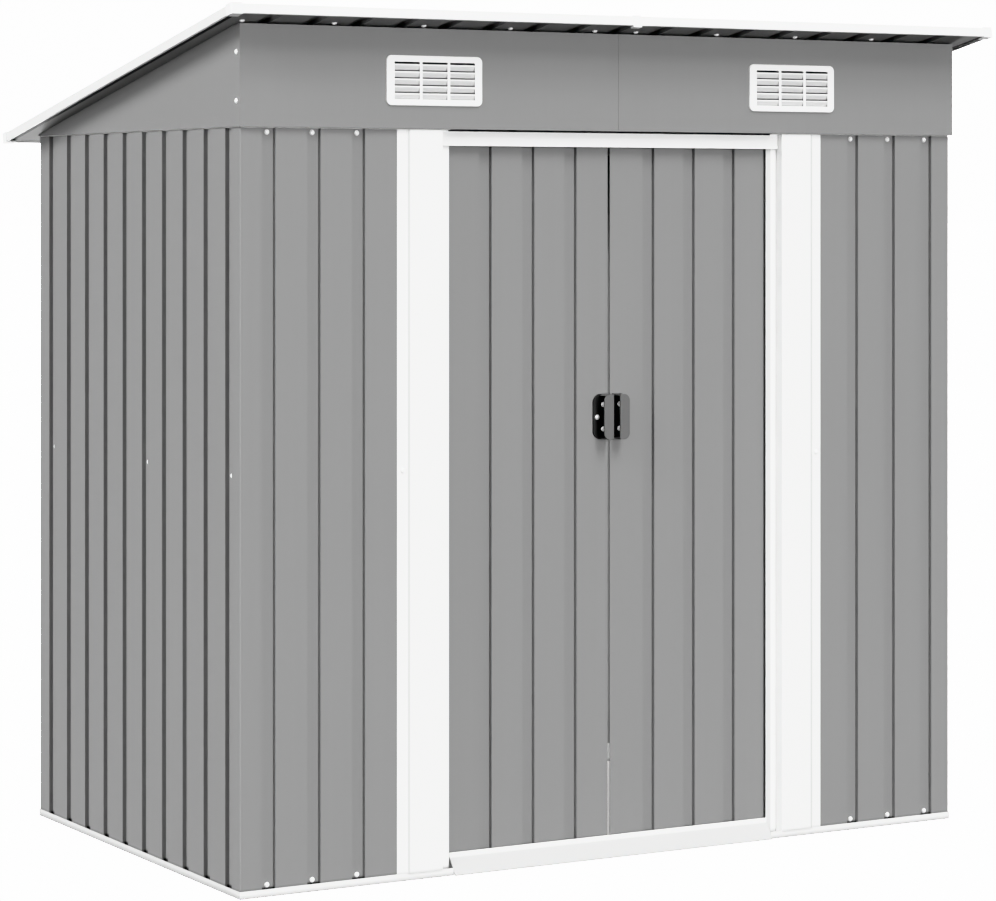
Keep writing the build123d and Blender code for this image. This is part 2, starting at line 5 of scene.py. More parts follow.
import json
import logging
import math
from dataclasses import dataclass
from enum import Enum
from typing import Any, Dict, Iterable, List, Optional, Sequence, Tuple, Union

import bpy
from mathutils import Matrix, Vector

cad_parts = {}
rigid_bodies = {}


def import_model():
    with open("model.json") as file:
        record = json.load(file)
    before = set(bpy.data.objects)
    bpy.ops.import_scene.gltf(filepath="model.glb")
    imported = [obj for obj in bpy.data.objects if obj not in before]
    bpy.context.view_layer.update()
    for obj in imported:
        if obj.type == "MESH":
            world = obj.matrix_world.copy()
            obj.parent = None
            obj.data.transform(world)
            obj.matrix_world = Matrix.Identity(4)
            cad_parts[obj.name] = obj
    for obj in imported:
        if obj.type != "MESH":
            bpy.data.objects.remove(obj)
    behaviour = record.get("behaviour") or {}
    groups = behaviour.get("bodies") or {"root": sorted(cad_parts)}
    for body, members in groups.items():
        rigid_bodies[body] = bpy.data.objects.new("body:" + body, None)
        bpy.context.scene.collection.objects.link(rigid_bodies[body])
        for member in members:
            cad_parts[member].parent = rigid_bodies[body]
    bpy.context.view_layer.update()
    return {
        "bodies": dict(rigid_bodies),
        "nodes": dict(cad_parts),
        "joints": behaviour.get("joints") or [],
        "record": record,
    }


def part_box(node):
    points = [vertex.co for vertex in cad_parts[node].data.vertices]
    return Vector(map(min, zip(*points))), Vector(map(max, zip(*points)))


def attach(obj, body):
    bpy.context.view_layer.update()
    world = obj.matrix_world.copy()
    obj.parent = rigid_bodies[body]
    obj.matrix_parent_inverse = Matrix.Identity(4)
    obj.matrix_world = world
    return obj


LOG = logging.getLogger("shed")
Colour = Tuple[float, float, float]
Point = Tuple[float, float, float]
Stops = Tuple[Tuple[float, float], ...]
Number = Union[float, "Wire"]
WHITE: Colour = (1.0, 1.0, 1.0)
BLACK: Colour = (0.0, 0.0, 0.0)


class Wire:
    """A shader value that Python's operators can combine."""

    def __init__(self, tree: "Tree", socket: bpy.types.NodeSocket) -> None:
        """Keep the tree and the output socket that carries the value."""
        self.tree = tree
        self.socket = socket

    def _math(self, operation: str, first: Number, second: Number) -> "Wire":
        """Join two values with a Math node.

        Args:
            operation: The Math node's operation.
            first: Left value.
            second: Right value.

        Returns:
            The joined value.
        """
        node = self.tree.node("ShaderNodeMath", {"operation": operation}, {0: first, 1: second})
        return Wire(self.tree, node.outputs[0])

    def __add__(self, other: Number) -> "Wire":
        """Sum of two values."""
        return self._math("ADD", self, other)

    def __radd__(self, other: Number) -> "Wire":
        """Sum of two values."""
        return self._math("ADD", other, self)

    def __sub__(self, other: Number) -> "Wire":
        """Difference of two values."""
        return self._math("SUBTRACT", self, other)

    def __rsub__(self, other: Number) -> "Wire":
        """Difference of two values."""
        return self._math("SUBTRACT", other, self)

    def __mul__(self, other: Number) -> "Wire":
        """Product of two values."""
        return self._math("MULTIPLY", self, other)

    def __rmul__(self, other: Number) -> "Wire":
        """Product of two values."""
        return self._math("MULTIPLY", other, self)

    def __mod__(self, other: Number) -> "Wire":
        """Remainder, never negative, of one value by another."""
        return self._math("FLOORED_MODULO", self, other)

    def __rmod__(self, other: Number) -> "Wire":
        """Remainder, never negative, of one value by another."""
        return self._math("FLOORED_MODULO", other, self)

    def __gt__(self, other: Number) -> "Wire":
        """One where the value is above the other, zero elsewhere."""
        return self._math("GREATER_THAN", self, other)

    def __lt__(self, other: Number) -> "Wire":
        """One where the value is below the other, zero elsewhere."""
        return self._math("LESS_THAN", self, other)

    def __abs__(self) -> "Wire":
        """The value without its sign."""
        return self._math("ABSOLUTE", self, 0.0)


class Tree:
    """A node tree with one method that makes any of its nodes."""

    def __init__(self, nodes: bpy.types.NodeTree) -> None:
        """Wrap a node tree."""
        self.tree = nodes

    def node(
        self,
        kind: str,
        settings: Optional[Dict[str, Any]] = None,
        inputs: Optional[Dict[Union[int, str], Any]] = None,
    ) -> bpy.types.Node:
        """Add a node.

        Args:
            kind: Blender's type name of the node.
            settings: Properties set before the sockets; "stops" fills a colour ramp.
            inputs: Values or wires by socket name or number.

        Returns:
            The new node.
        """
        made = self.tree.nodes.new(kind)
        for key, value in (settings or {}).items():
            if key == "stops":
                self._fill_ramp(made.color_ramp, value)
            else:
                setattr(made, key, value)
        for key, value in (inputs or {}).items():
            socket = made.inputs[key]
            if isinstance(value, Wire):
                self.tree.links.new(value.socket, socket)
            else:
                socket.default_value = value
        return made

    def wire(
        self,
        kind: str,
        settings: Optional[Dict[str, Any]] = None,
        inputs: Optional[Dict[Union[int, str], Any]] = None,
        output: Union[int, str] = 0,
    ) -> Wire:
        """Add a node and take one of its outputs.

        Args:
            kind: Blender's type name of the node.
            settings: Properties set before the sockets.
            inputs: Values or wires by socket name or number.
            output: Name or number of the output.

        Returns:
            The output as a wire.
        """
        return Wire(self, self.node(kind, settings, inputs).outputs[output])

    @staticmethod
    def _fill_ramp(ramp: bpy.types.ColorRamp, stops: Sequence[Tuple[float, float]]) -> None:
        """Give a colour ramp its grey stops.

        Args:
            ramp: The ramp.
            stops: Position and grey value of each stop.
        """
        while len(ramp.elements) < len(stops):
            ramp.elements.new(1.0)
        for element, (position, grey) in zip(ramp.elements, stops):
            element.position = position
            element.color = (grey, grey, grey, 1.0)


class ShaderTree(Tree):
    """Node tree of one material."""

    def __init__(self, name: str) -> None:
        """Start an empty material.

        Args:
            name: The material's name.
        """
        self.material = bpy.data.materials.new(name)
        self.material.use_nodes = True
        super().__init__(self.material.node_tree)
        self.tree.nodes.clear()
        self.place = self.wire("ShaderNodeTexCoord", output="Object")

    def axes(self) -> List[Wire]:
        """Object coordinates one by one: across, depth and height."""
        split = self.node("ShaderNodeSeparateXYZ", inputs={0: self.place})
        return [Wire(self, socket) for socket in split.outputs]

    def facing(self, axis: str) -> Wire:
        """How far the surface faces along X, Y or Z."""
        normal = self.wire("ShaderNodeTexCoord", output="Normal")
        return self.wire("ShaderNodeSeparateXYZ", inputs={0: normal}, output=axis)

    def stretched(self, scale: Point) -> Wire:
        """Object coordinates stretched along the axes."""
        return self.wire("ShaderNodeMapping", inputs={"Vector": self.place, "Scale": scale})

    def noise(self, scale: float, detail: float = 2.0, place: Optional[Wire] = None) -> Wire:
        """Soft noise about zero.

        Args:
            scale: Patches in a metre.
            detail: Octaves of finer noise.
            place: Coordinates, if not the object's own.

        Returns:
            Noise from about -0.5 to 0.5.
        """
        cloud = self.wire(
            "ShaderNodeTexNoise",
            inputs={"Vector": place or self.place, "Scale": scale, "Detail": detail},
            output="Fac",
        )
        return cloud - 0.5

    def tone(self, dark: Colour, light: Colour, share: Wire) -> Wire:
        """Colour between two tones.

        Args:
            dark: Colour at share 0.
            light: Colour at share 1.
            share: Where the colour lies between them.

        Returns:
            The mixed colour.
        """
        return self._mix(share, dark, (*light, 1.0))

    def blend(self, share: Wire, first: Colour, second: Wire) -> Wire:
        """Colour between a fixed one and a varying one.

        Args:
            share: Where the colour lies between them.
            first: Colour at share 0.
            second: Colour at share 1.

        Returns:
            The mixed colour.
        """
        return self._mix(share, first, second)

    def _mix(self, share: Wire, first: Colour, second: Any) -> Wire:
        """Add the node that mixes two colours.

        Args:
            share: Where the colour lies between them.
            first: Colour at share 0.
            second: Colour with alpha, or a wire, at share 1.

        Returns:
            The mixed colour.
        """
        settings = {"data_type": "RGBA", "clamp_factor": True}
        return self.wire("ShaderNodeMix", settings, {0: share, 6: (*first, 1.0), 7: second}, 2)

    def bump(self, height: Wire, depth: float) -> Wire:
        """Normal of a surface with fine relief.

        Args:
            height: Relief from about -0.5 to 0.5.
            depth: Its depth in metres.

        Returns:
            The bumped normal.
        """
        inputs = {"Height": height, "Distance": depth, "Strength": 1.0}
        return self.wire("ShaderNodeBump", inputs=inputs)

    def close(self, inputs: Dict[str, Any]) -> bpy.types.Material:
        """End the tree in a surface shader.

        Args:
            inputs: Values and wires of the shader's sockets.

        Returns:
            The finished material.
        """
        surface = self.wire("ShaderNodeBsdfPrincipled", inputs=inputs, output="BSDF")
        self.node("ShaderNodeOutputMaterial", inputs={"Surface": surface})
        return self.material


def scaled(colour: Colour, share: float) -> Colour:
    """A colour made lighter or darker by a share."""
    return tuple(channel * share for channel in colour)


def varied(tree: ShaderTree, colour: Colour, contrast: float, share: Wire) -> Wire:
    """A colour that wanders a little either way, from darker at share 0 to lighter at share 1."""
    return tree.tone(scaled(colour, 1.0 - contrast), scaled(colour, 1.0 + contrast), share)


@dataclass(frozen=True)
class PaintedSheet:
    """Coil-coated sheet steel: faint rolling streaks, slow tone drift and a fine peel."""

    name: str
    colour: Colour
    roughness: float
    contrast: float = 0.025
    drift_scale: float = 1.7
    drift_share: float = 0.9
    drift_roughness: float = 0.10
    streak_stretch: Point = (60.0, 60.0, 0.9)
    streak_share: float = 0.6
    streak_roughness: float = 0.06
    peel_scale: float = 850.0
    peel_depth: float = 0.00003
    buckle_scale: float = 3.0
    buckle_depth: float = 0.0012
    shine: float = 0.4
    # Painted shade: foot darkens the paint near the ground, notch paints shadow in the rib feet,
    # eaves_shade paints shadow under the side trims.
    foot: Tuple[float, float, float] = (0.016, 0.006, 0.70)
    notch: float = 1.0
    notch_run: Tuple[float, float] = (0.0165, 0.004)
    rib_floor: Tuple[float, float] = (0.893, -0.5313)
    eaves: float = 0.9335
    eaves_shade: float = 0.12

    def material(self) -> bpy.types.Material:
        """Build the paint's material.

        Returns:
            The material.
        """
        tree = ShaderTree(self.name)
        drift = tree.noise(self.drift_scale)
        streak = tree.noise(1.0, 3.0, tree.stretched(self.streak_stretch))
        peel = tree.noise(self.peel_scale, 1.0)
        buckle = tree.noise(self.buckle_scale, 0.0)
        share = 0.5 + self.drift_share * drift + self.streak_share * streak
        colour = self._painted_light_and_shade(tree, varied(tree, self.colour, self.contrast, share))
        relief = peel * self.peel_depth + buckle * self.buckle_depth
        rough = self.roughness + self.drift_roughness * drift + self.streak_roughness * streak
        return tree.close(
            {
                "Base Color": colour,
                "Roughness": rough,
                "Specular IOR Level": self.shine,
                "Normal": tree.bump(relief, 1.0),
            }
        )

    def _painted_light_and_shade(self, tree: ShaderTree, colour: Wire) -> Wire:
        """Paint shade into the colour: darker near the ground and, on the grey sheets, painted
        shadow in the rib feet and under the eaves.

        Args:
            tree: Tree to add the nodes to.
            colour: The paint's own colour.

        Returns:
            The colour with its painted shade.
        """
        across, depth, height = tree.axes()
        # Painted shade: the colour darkens below a given height, standing in for the shade at the
        # foot of walls, rails and the sill ramp.
        start, run, shade = self.foot
        foot = tree.blend((height - start) * (1.0 / run), scaled(self.colour, shade), colour)
        if self.notch == 1.0:
            return foot
        # Painted shadow in the pockets where the rib floors meet the base rail.
        start, run = self.notch_run
        side, front = self.rib_floor
        floor = (abs(across) < side) * (depth > front)
        clear = 1.0 - floor * (height < start + run) + (height - start) * (1.0 / run)
        foot = tree.blend(clear, scaled(self.colour, self.notch), foot)
        # Painted shadow on the sheet's underside in the gap under the side roof trims.
        eaves_shadow = (abs(across) > self.eaves) * (tree.facing("Z") < 0.0)
        return tree.blend(1.0 - eaves_shadow, scaled(self.colour, self.eaves_shade), foot)


@dataclass(frozen=True)
class JambPaint(PaintedSheet):
    """White paint of the jambs, with painted light on the steps and painted shade in the creases
    and beside the right door.
    """

    # step lightens sideways faces as a painted highlight; shade darkens the strip and the creases
    # as painted shade.
    step: float = 1.11
    shade: float = 0.70
    reveal: float = 0.4150
    crease: Tuple[float, float] = (0.5080, 0.5130)
    turned: float = 0.5

    def _painted_light_and_shade(self, tree: ShaderTree, colour: Wire) -> Wire:
        """Add painted light on the steps and painted shade on the strip beside the right door and
        in the creases.

        Args:
            tree: Tree to add the nodes to.
            colour: The paint's own colour.

        Returns:
            The colour with the painted light and shade in it.
        """
        foot = super()._painted_light_and_shade(tree, colour)
        across = tree.axes()[0]
        # Painted shade on the strip beside the right door and in the creases.
        start, stop = self.crease
        unshaded = (across < 0.0) + (across > self.reveal)
        unshaded = unshaded * ((abs(across) < start) + (abs(across) > stop))
        strip = tree.blend(unshaded, scaled(self.colour, self.shade), foot)
        # Painted highlight: faces turned sideways are made paler.
        sideways = abs(tree.facing("X"))
        return tree.blend(sideways < self.turned, scaled(self.colour, self.step), strip)


@dataclass(frozen=True)
class GalvanisedSteel:
    """Bare zinc-coated steel with its spangle."""

    name: str
    colour: Colour
    spangle_scale: float = 95.0
    spangle_range: Tuple[float, float] = (0.8, 1.15)
    spangle_roughness: float = 0.16
    drift_scale: float = 6.0
    drift_share: float = 0.4
    drift_roughness: float = 0.1
    roughness: float = 0.34
    metal: float = 0.85
    grain_scale: float = 420.0
    grain_depth: float = 0.00002

    def material(self) -> bpy.types.Material:
        """Build the zinc's material.

        Returns:
            The material.
        """
        tree = ShaderTree(self.name)
        cells = {"Vector": tree.place, "Scale": self.spangle_scale}
        flake = tree.wire("ShaderNodeTexVoronoi", inputs=cells, output="Color")
        grey = tree.wire("ShaderNodeRGBToBW", inputs={"Color": flake})
        drift = tree.noise(self.drift_scale)
        dark, light = (scaled(self.colour, share) for share in self.spangle_range)
        rough = self.roughness + self.spangle_roughness * grey + self.drift_roughness * drift
        return tree.close(
            {
                "Base Color": tree.tone(dark, light, grey + drift * self.drift_share),
                "Metallic": self.metal,
                "Roughness": rough,
                "Normal": tree.bump(tree.noise(self.grain_scale), self.grain_depth),
            }
        )


@dataclass(frozen=True)
class MouldedPlastic:
    """Moulded plastic with a fine spark-eroded grain."""

    name: str
    colour: Colour
    roughness: float
    contrast: float = 0.04
    grain_scale: float = 1500.0
    grain_depth: float = 0.00004
    grain_share: float = 0.4
    grain_roughness: float = 0.10
    drift_scale: float = 14.0
    drift_roughness: float = 0.12

    def material(self) -> bpy.types.Material:
        """Build the plastic's material.

        Returns:
            The material.
        """
        tree = ShaderTree(self.name)
        grain = tree.noise(self.grain_scale, 1.0)
        drift = tree.noise(self.drift_scale)
        rough = self.roughness + self.drift_roughness * drift + self.grain_roughness * grain
        return tree.close(
            {
                "Base Color": self._colour(tree, drift, grain),
                "Roughness": rough,
                "Normal": tree.bump(grain, self.grain_depth),
            }
        )

    def _colour(self, tree: ShaderTree, drift: Wire, grain: Wire) -> Wire:
        """The plastic's colour, which wanders with the drift and the grain."""
        return varied(tree, self.colour, self.contrast, 0.5 + drift + self.grain_share * grain)


@dataclass(frozen=True)
class GlowingEnamel:
    """Glossy white enamel with a faint painted glow that keeps it bright in the shade."""

    name: str
    colour: Colour
    roughness: float
    contrast: float = 0.03
    glow: float = 0.10
    grain_scale: float = 900.0
    grain_depth: float = 0.00001
    grain_roughness: float = 0.08
    drift_scale: float = 5.0
    drift_roughness: float = 0.06

    def material(self) -> bpy.types.Material:
        """Build the enamel's material.

        Returns:
            The material.
        """
        tree = ShaderTree(self.name)
        grain = tree.noise(self.grain_scale, 1.0)
        drift = tree.noise(self.drift_scale)
        rough = self.roughness + self.grain_roughness * grain + self.drift_roughness * drift
        return tree.close(
            {
                "Base Color": varied(tree, self.colour, self.contrast, 0.5 + drift),
                # Painted light: a faint white emission, though the screws are no lamp.
                "Emission Color": (*WHITE, 1.0),
                "Emission Strength": self.glow,
                "Roughness": rough,
                "Normal": tree.bump(grain, self.grain_depth),
            }
        )


@dataclass(frozen=True)
class VentPlastic(MouldedPlastic):
    """Moulded white plastic with painted shade on its louvre blades under each nose."""

    middle: Point = (0.4532, -0.5476, 1.66757)
    louvre: Tuple[float, float] = (0.0962, 0.0392)
    inset: float = 0.0003
    first: float = 0.0369
    pitch: float = 0.01516
    # Grey of the painted shade through each louvre pitch: dark at the slit, pale on the nose,
    # greyer below.
    shades: Stops = (
        (0.0, 0.25),
        (0.14, 0.25),
        (0.19, 1.0),
        (0.34, 1.0),
        (0.44, 0.93),
        (0.90, 0.90),
        (1.0, 0.45),
    )

    def _colour(self, tree: ShaderTree, drift: Wire, grain: Wire) -> Wire:
        """The plastic's colour with painted shade on each blade from its nose down.

        Args:
            tree: Tree to add the nodes to.
            drift: Slow noise.
            grain: Fine noise.

        Returns:
            The shaded colour.
        """
        across, depth, height = tree.axes()
        x, y, z = self.middle
        run = ((z + self.first - height) * (1.0 / self.pitch)) % 1.0
        band = tree.wire("ShaderNodeValToRGB", {"stops": self.shades}, {"Fac": run})
        grey = tree.wire("ShaderNodeRGBToBW", inputs={"Color": band})
        wide, tall = self.louvre
        # Painted shade: the blades inside the louvre area take the banded grey.
        blade = (abs(abs(across) - x) < wide) * (abs(height - z) < tall) * (depth > y + self.inset)
        return tree.blend(1.0 - blade * (1.0 - grey), BLACK, super()._colour(tree, drift, grain))


class Finish(Enum):
    """Finishes of the shed's pieces."""

    # Painted shade: darker above the base rails, painted shadow in the rib feet and under the side
    # roof trims.
    PANEL_GREY = PaintedSheet(
        "panel_grey_paint", (0.260, 0.260, 0.260), 0.55, shine=0.15, notch=0.12
    )
    TRIM_WHITE = PaintedSheet("trim_white_paint", (0.88, 0.88, 0.878), 0.45, contrast=0.008)
    JAMB_WHITE = JambPaint("jamb_white_paint", (0.88, 0.88, 0.878), 0.45, contrast=0.008)
    # Painted shade: a darker copy of the trim white for the side trims.
    SIDE_TRIM_WHITE = PaintedSheet(
        "side_trim_white_paint", (0.76, 0.76, 0.758), 0.45, contrast=0.008
    )
    # Painted shade: a darker copy of the white for the side base rails, also darker towards the
    # bottom.
    SIDE_RAIL_WHITE = PaintedSheet(
        "side_rail_white_paint", (0.68, 0.68, 0.678), 0.45, contrast=0.008, foot=(0.0, 0.012, 0.52)
    )
    # Painted shade: the front and rear base rails darken towards their lower edge.
    RAIL_WHITE = PaintedSheet(
        "rail_white_paint", (0.84, 0.84, 0.838), 0.45, contrast=0.008, foot=(0.0, 0.010, 0.45)
    )
    # Painted shade: the sill darkens on its lower ramp.
    SILL_WHITE = PaintedSheet(
        "sill_white_paint", (0.88, 0.88, 0.878), 0.45, contrast=0.008, foot=(0.034, 0.004, 0.64)
    )
    FRAME_STEEL = GalvanisedSteel("frame_zinc", (0.55, 0.56, 0.57))
    VENT_WHITE = VentPlastic(
        "vent_white_plastic", (0.88, 0.88, 0.88), 0.45, contrast=0.01, grain_share=0.0
    )
    CAP_WHITE = MouldedPlastic("cap_white_plastic", (0.88, 0.88, 0.88), 0.45, contrast=0.01)
    HANDLE_BLACK = MouldedPlastic("handle_black_plastic", (0.012, 0.012, 0.012), 0.60, contrast=0.2)
    HANDLE_GREY = MouldedPlastic("handle_grey_plastic", (0.13, 0.13, 0.13), 0.55)
    SLIDE_NYLON = MouldedPlastic("slide_nylon", (0.62, 0.62, 0.60), 0.45)
    # Painted light: the screw heads glow faintly.
    SCREW_WHITE = GlowingEnamel("screw_white_enamel", (0.93, 0.93, 0.93), 0.32)


class Palette:
    """Makes each finish once."""

    def __init__(self) -> None:
        """Start with no finish made."""
        self._made: Dict[Finish, bpy.types.Material] = {}

    def material(self, finish: Finish) -> bpy.types.Material:
        """The material of a finish, made on first use.

        Args:
            finish: The finish.

        Returns:
            Its material.
        """
        if finish not in self._made:
            self._made[finish] = finish.value.material()
        return self._made[finish]


@dataclass
class Dresser:
    """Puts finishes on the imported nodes."""

    frame: Dict[str, Any]
    palette: Palette

    def paint(self, finish: Finish, *names: str) -> None:
        """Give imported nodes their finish.

        Args:
            finish: The finish.
            names: Names of the nodes.
        """
        material = self.palette.material(finish)
        for name in names:
            node = self.frame["nodes"][name]
            if not node.material_slots:
                node.data.materials.append(material)
            for slot in node.material_slots:
                slot.material = material
            LOG.info("%s: %s", name, finish.name)


@dataclass(frozen=True)
class ScrewSpot:
    """Where a screw's washer sits and which way it faces."""

    place: Point
    facing: Point


@dataclass
class Screws:
    """Pan-head screws with washers, set out by a node tree on a cloud of points."""

    name: str
    body: str
    slot: str
    washer_diameter: float = 0.0115
    washer_height: float = 0.0008
    head_diameter: float = 0.0104
    head_height: float = 0.0026
    recess_width: float = 0.0010
    recess_length: float = 0.56
    recess_depth: float = 0.6
    washer_taper: float = 0.9
    washer_sides: int = 20
    head_segments: int = 18
    head_rings: int = 10
    cut_level: float = -0.0001
    seed: int = 7

    def build(self, spots: Sequence[ScrewSpot], material: bpy.types.Material) -> bpy.types.Object:
        """Make one mesh of all the screws on a body.

        Args:
            spots: Places of the screws.
            material: Their finish.

        Returns:
            The finished piece.
        """
        cloud = bpy.data.meshes.new(self.name + "_spots")
        cloud.from_pydata([spot.place for spot in spots], [], [])
        facing = cloud.attributes.new("facing", "FLOAT_VECTOR", "POINT")
        for item, spot in zip(facing.data, spots):
            item.vector = Vector(spot.facing).normalized()
        piece = bpy.data.objects.new(self.name, cloud)
        bpy.context.scene.collection.objects.link(piece)
        modifier = piece.modifiers.new("screws", "NODES")
        modifier.node_group = self._tree()
        sizes = {
            "Washer Diameter": self.washer_diameter,
            "Washer Height": self.washer_height,
            "Head Diameter": self.head_diameter,
            "Head Height": self.head_height,
            "Recess Width": self.recess_width,
            "Seed": self.seed,
            "Finish": material,
        }
        for socket in modifier.node_group.interface.items_tree:
            if socket.in_out == "INPUT" and socket.name in sizes:
                modifier[socket.identifier] = sizes[socket.name]
        evaluated = piece.evaluated_get(bpy.context.evaluated_depsgraph_get())
        mesh = bpy.data.meshes.new_from_object(evaluated)
        piece.modifiers.remove(modifier)
        piece.data = mesh
        mesh.name = self.name
        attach(piece, self.body)
        LOG.info("%s: %d screws, %d faces", self.name, len(spots), len(mesh.polygons))
        return piece

    def _tree(self) -> bpy.types.NodeTree:
        """Build the node tree that turns points into screws.

        Returns:
            The tree, with an input for each size.
        """
        group = bpy.data.node_groups.new(self.name + "_tree", "GeometryNodeTree")
        face = group.interface
        face.new_socket("Geometry", in_out="OUTPUT", socket_type="NodeSocketGeometry")
        face.new_socket("Geometry", in_out="INPUT", socket_type="NodeSocketGeometry")
        sizes = ("Washer Diameter", "Washer Height", "Head Diameter", "Head Height", "Recess Width")
        for name in sizes:
            face.new_socket(name, in_out="INPUT", socket_type="NodeSocketFloat")
        face.new_socket("Seed", in_out="INPUT", socket_type="NodeSocketInt")
        face.new_socket("Finish", in_out="INPUT", socket_type="NodeSocketMaterial")
        tree = Tree(group)
        start = tree.node("NodeGroupInput")
        given = {socket.name: Wire(tree, socket) for socket in start.outputs if socket.name}
        screw = self._screw(tree, given)
        facing = tree.wire(
            "GeometryNodeInputNamedAttribute", {"data_type": "FLOAT_VECTOR"}, {"Name": "facing"}
        )
        aligned = tree.wire("FunctionNodeAlignRotationToVector", {"axis": "Z"}, {"Vector": facing})
        turns = {2: 0.0, 3: math.tau, "Seed": given["Seed"]}
        spin = tree.wire("FunctionNodeRandomValue", {"data_type": "FLOAT"}, turns, 1)
        turn = tree.wire(
            "FunctionNodeAxisAngleToRotation", inputs={"Axis": (0.0, 0.0, 1.0), "Angle": spin}
        )
        rotation = tree.wire(
            "FunctionNodeRotateRotation",
            {"rotation_space": "LOCAL"},
            {"Rotation": aligned, "Rotate By": turn},
        )
        spread = tree.wire(
            "GeometryNodeInstanceOnPoints",
            inputs={"Points": given["Geometry"], "Instance": screw, "Rotation": rotation},
        )
        solid = tree.wire("GeometryNodeRealizeInstances", inputs={"Geometry": spread})
        dressed = tree.wire(
            "GeometryNodeSetMaterial", inputs={"Geometry": solid, "Material": given["Finish"]}
        )
        tree.node("NodeGroupOutput", inputs={0: dressed})
        return group

    def _screw(self, tree: Tree, given: Dict[str, Wire]) -> Wire:
        """One screw that stands on its washer, with a cross recess.

        Args:
            tree: Tree to add the nodes to.
            given: The tree's named inputs.

        Returns:
            The screw's geometry.
        """
        radius = given["Washer Diameter"] * 0.5
        washer = tree.wire(
            "GeometryNodeMeshCone",
            inputs={
                "Vertices": self.washer_sides,
                "Radius Top": radius * self.washer_taper,
                "Radius Bottom": radius,
                "Depth": given["Washer Height"],
            },
        )
        half = given["Head Diameter"] * 0.5
        ball = tree.wire(
            "GeometryNodeMeshUVSphere",
            inputs={"Segments": self.head_segments, "Rings": self.head_rings, "Radius": 1.0},
        )
        size = tree.wire("ShaderNodeCombineXYZ", inputs={0: half, 1: half, 2: given["Head Height"]})
        dome = tree.wire("GeometryNodeTransform", inputs={"Geometry": ball, "Scale": size})
        arm = given["Head Diameter"] * self.recess_length
        deep = given["Head Height"] * self.recess_depth
        lift = tree.wire("ShaderNodeCombineXYZ", inputs={2: given["Head Height"]})
        cutter = tree.node("GeometryNodeMeshBoolean", {"operation": "DIFFERENCE"})
        tree.tree.links.new(dome.socket, cutter.inputs["Mesh 1"])
        for first, second in ((arm, given["Recess Width"]), (given["Recess Width"], arm)):
            extent = tree.wire("ShaderNodeCombineXYZ", inputs={0: first, 1: second, 2: deep})
            bar = tree.wire("GeometryNodeMeshCube", inputs={"Size": extent})
            moved = {"Geometry": bar, "Translation": lift}
            raised = tree.wire("GeometryNodeTransform", inputs=moved)
            tree.tree.links.new(raised.socket, cutter.inputs["Mesh 2"])
        cut = Wire(tree, cutter.outputs["Mesh"])
        height = tree.wire(
            "ShaderNodeSeparateXYZ", inputs={0: tree.wire("GeometryNodeInputPosition")}, output="Z"
        )
        below = tree.wire(
            "FunctionNodeCompare",
            {"data_type": "FLOAT", "operation": "LESS_THAN"},
            {0: height, 1: self.cut_level},
        )
        bowl = tree.wire(
            "GeometryNodeDeleteGeometry",
            {"domain": "POINT"},
            {"Geometry": cut, "Selection": below},
        )
        seat = tree.wire("ShaderNodeCombineXYZ", inputs={2: given["Washer Height"]})
        head = tree.wire("GeometryNodeTransform", inputs={"Geometry": bowl, "Translation": seat})
        joined = tree.node("GeometryNodeJoinGeometry")
        for part in (washer, head):
            tree.tree.links.new(part.socket, joined.inputs[0])
        return Wire(tree, joined.outputs[0])


def mirrored(spots: Iterable[ScrewSpot]) -> List[ScrewSpot]:
    """The spots and their mirror images on the other side of the shed.

    Args:
        spots: Places on one side.

    Returns:
        Places on both sides, in pairs.
    """
    made = []
    for spot in spots:
        (x, y, z), (a, b, c) = spot.place, spot.facing
        made += [spot, ScrewSpot((-x, y, z), (-a, b, c))]
    return made


@dataclass
class Walls:
    """Ribbed wall sheets and the screws in their ribs."""

    rib_depth: float = 0.0087
    wing_rib_insets: Tuple[float, ...] = (0.0644, 0.16745, 0.2705)
    side_rib_insets: Tuple[float, ...] = (0.0549, 0.4756, 1.0015)
    rear_rib_margin: float = 0.061
    rear_rib_pitch: float = 0.1045
    rear_rib_count: int = 17
    foot_level: float = 0.0235
    middle_level: float = 0.856
    head_level: float = 1.5575

    def dress(self, dresser: Dresser) -> None:
        """Paint the wall sheets and the rails inside them.

        Args:
            dresser: Puts the finishes on.
        """
        dresser.paint(
            Finish.PANEL_GREY,
            "front_left_wall",
            "front_right_wall",
            "rear_left_wall",
            "rear_right_wall",
            "rear_middle_wall",
        )
        dresser.paint(
            Finish.FRAME_STEEL,
            "left_middle_rail",
            "right_middle_rail",
            "rear_middle_rail",
        )

    def spots(self) -> List[ScrewSpot]:
        """Screws in the ribs of the front, the sides and the rear.

        Returns:
            Their places.
        """
        low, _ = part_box("front_left_wall")
        _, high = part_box("rear_right_wall")
        front, rear = low.y + self.rib_depth, high.y - self.rib_depth
        half = []
        for inset in self.wing_rib_insets:
            for level in (self.foot_level, self.head_level):
                half.append(ScrewSpot((low.x + inset, front, level), (0.0, -1.0, 0.0)))
        for inset in self.side_rib_insets:
            place = (low.x + self.rib_depth, low.y + inset, self.middle_level)
            half.append(ScrewSpot(place, (-1.0, 0.0, 0.0)))
        for rib in range(0, self.rear_rib_count // 2, 2):
            x = low.x + self.rear_rib_margin + rib * self.rear_rib_pitch
            for level in (self.foot_level, self.middle_level, self.head_level):
                half.append(ScrewSpot((x, rear, level), (0.0, 1.0, 0.0)))
        return mirrored(half)


